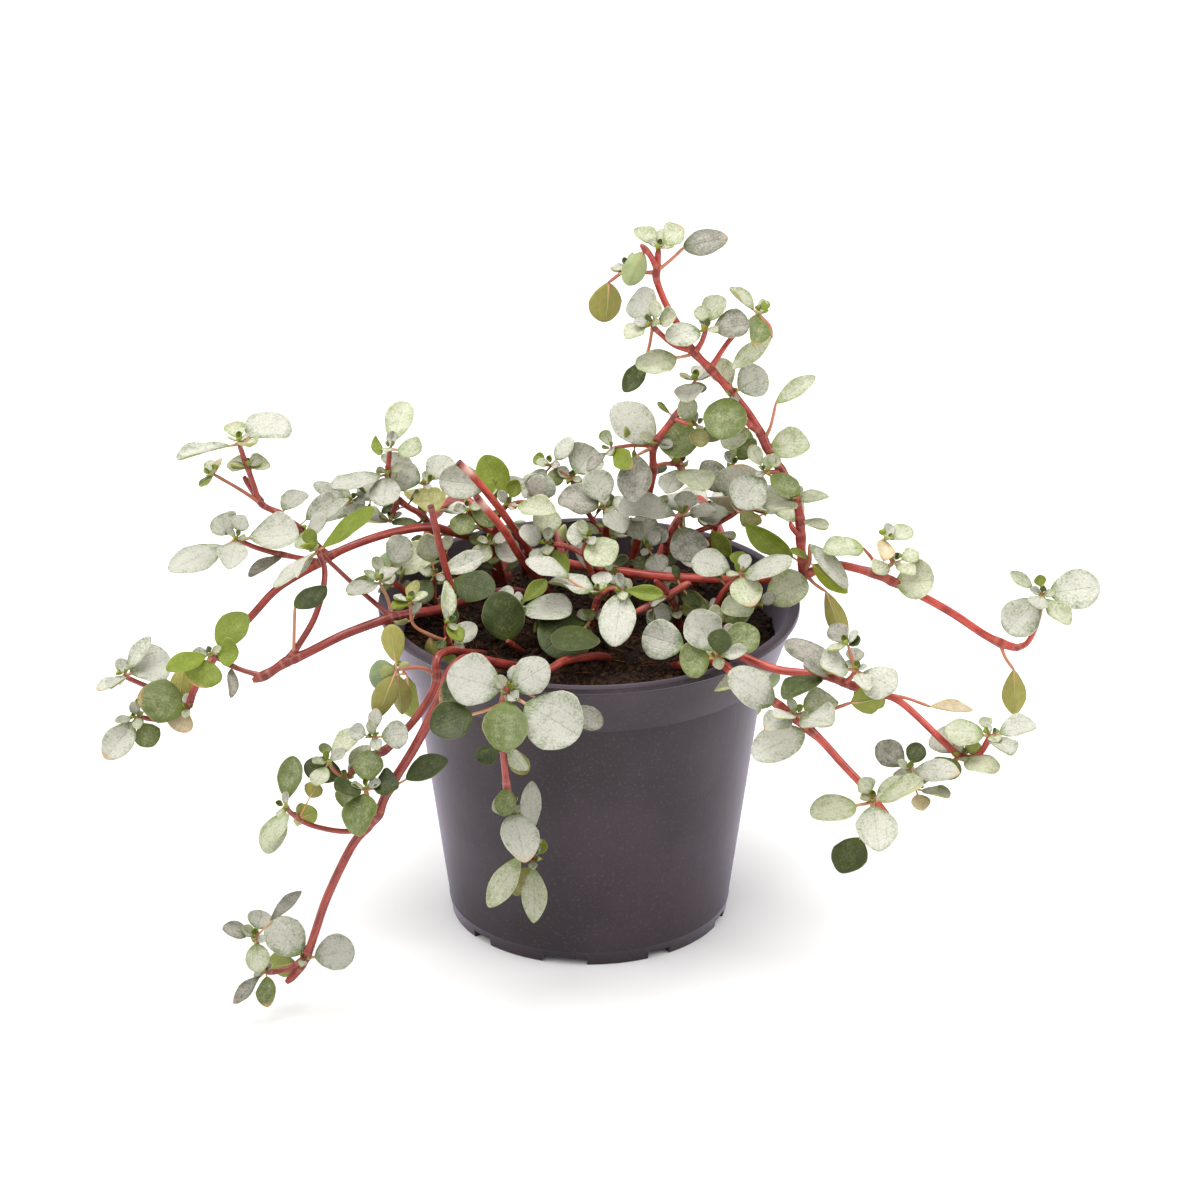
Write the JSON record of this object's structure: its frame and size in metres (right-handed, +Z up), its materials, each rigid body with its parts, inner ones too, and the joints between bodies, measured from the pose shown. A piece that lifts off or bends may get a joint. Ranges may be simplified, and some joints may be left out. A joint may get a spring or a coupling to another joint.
{
  "type": "potted_plant",
  "caption": "Small trailing pilea with silvery round leaves on coral-red stems in a tapered grey plastic nursery pot",
  "frame": {"origin": "bottom centre of the bounding box, on the surface that the pot stands on", "axes": "+X to the right as pictured, along the widest spread; +Y away from the viewer; +Z up"},
  "size_m": [0.1418, 0.094, 0.1015],
  "materials": {
    "pot": "thin moulded plastic with a soft sheen",
    "soil": "crumbly dark peat with fibres",
    "leaf": "silvery mottled leaf with green margins, satin",
    "stem": "coral-red fleshy stem, satin"
  },
  "bodies": {
    "root": {"pot": "pot", "soil": "soil", "stem_right_long": "leaf", "stem_left_long": "leaf", "stem_left_low": "leaf", "stem_front_left_long": "leaf", "stem_front_left_short": "leaf", "stem_front": "leaf", "stem_right_upper": "leaf", "stem_right_lower": "leaf", "shoot_front_right": "leaf", "shoot_front_middle": "leaf", "shoot_right": "leaf", "shoot_tall_middle": "leaf", "shoot_middle_right": "leaf", "shoot_back_right": "leaf", "shoot_middle_back": "leaf", "shoot_middle": "leaf", "shoot_middle_front": "leaf", "shoot_left_back": "leaf", "shoot_left_middle": "leaf", "shoot_left": "leaf", "shoot_front_left": "leaf", "shoot_front_low": "leaf", "stem_back_left": "leaf", "stem_back_middle": "leaf", "stem_back_right": "leaf", "bare_stem_1": "stem", "bare_stem_2": "stem", "bare_stem_3": "stem"}
  },
  "joints": []
}
